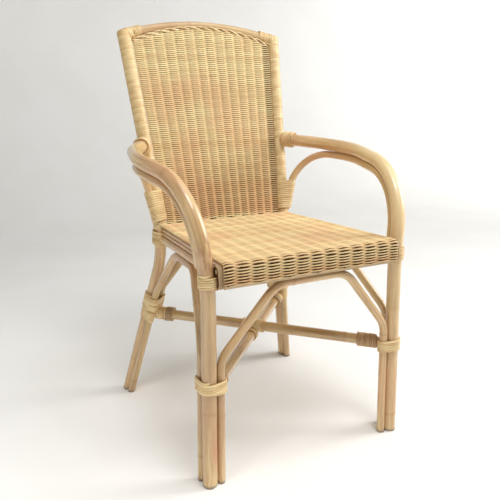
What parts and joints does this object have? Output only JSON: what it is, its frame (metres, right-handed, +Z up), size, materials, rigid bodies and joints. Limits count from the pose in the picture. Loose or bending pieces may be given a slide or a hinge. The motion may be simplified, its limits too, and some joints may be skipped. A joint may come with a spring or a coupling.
{
  "type": "rattan armchair",
  "caption": "Armchair of bent rattan poles with a woven cane seat and back, looped arms with braces, arched leg stays, crossed stretchers and bound joints.",
  "frame": {"origin": "on the floor, below the middle of the chair's outside box", "axes": "+Z up, -Y towards the front of the chair, +X to the right of a viewer in front of it"},
  "size_m": [0.5508, 0.5444, 0.9125],
  "materials": {
    "rattan_pole": "clear satin lacquer over pale straw rattan",
    "rattan_core": "clear satin lacquer over rattan core",
    "cane_binding": "satin split cane strand",
    "cane_peel": "satin flat cane peel, close wound",
    "cane_weave": "satin lacquered woven cane"
  },
  "bodies": {
    "root": {"arm_binding_left": "cane_binding", "arm_binding_right": "cane_binding", "arm_brace_left": "rattan_pole", "arm_brace_right": "rattan_pole", "back_edging": "rattan_core", "back_post_left": "rattan_pole", "back_post_right": "rattan_pole", "back_stakes": "rattan_core", "back_weave": "cane_weave", "brace_wrap_left": "cane_binding", "brace_wrap_right": "cane_binding", "crest_binding_left": "cane_binding", "crest_binding_right": "cane_binding", "crest_rail": "rattan_pole", "cross_stretcher_lower": "rattan_pole", "cross_stretcher_upper": "rattan_pole", "crossing_binding": "cane_binding", "front_arch": "rattan_pole", "front_leg_arm_left": "rattan_pole", "front_leg_arm_right": "rattan_pole", "leg_binding_left": "cane_binding", "leg_binding_right": "cane_binding", "leg_wrap_front_left": "cane_binding", "leg_wrap_front_right": "cane_binding", "leg_wrap_rear_left": "cane_binding", "leg_wrap_rear_right": "cane_binding", "post_wrap_left": "cane_peel", "post_wrap_right": "cane_peel", "rail_binding_left": "cane_binding", "rail_binding_right": "cane_binding", "rear_arch": "rattan_pole", "seat_front_lower_rail": "rattan_pole", "seat_front_rail": "rattan_pole", "seat_rear_lower_rail": "rattan_pole", "seat_rear_rail": "rattan_pole", "seat_side_rail_left": "rattan_pole", "seat_side_rail_right": "rattan_pole", "seat_side_strip_lower_left": "rattan_core", "seat_side_strip_lower_right": "rattan_core", "seat_side_strip_upper_left": "rattan_core", "seat_side_strip_upper_right": "rattan_core", "seat_stakes": "rattan_core", "seat_weave": "cane_weave", "side_arch_left": "rattan_pole", "side_arch_right": "rattan_pole", "stretcher_binding_front_left": "cane_binding", "stretcher_binding_front_right": "cane_binding", "stretcher_binding_rear_left": "cane_binding", "stretcher_binding_rear_right": "cane_binding"}
  },
  "joints": []
}
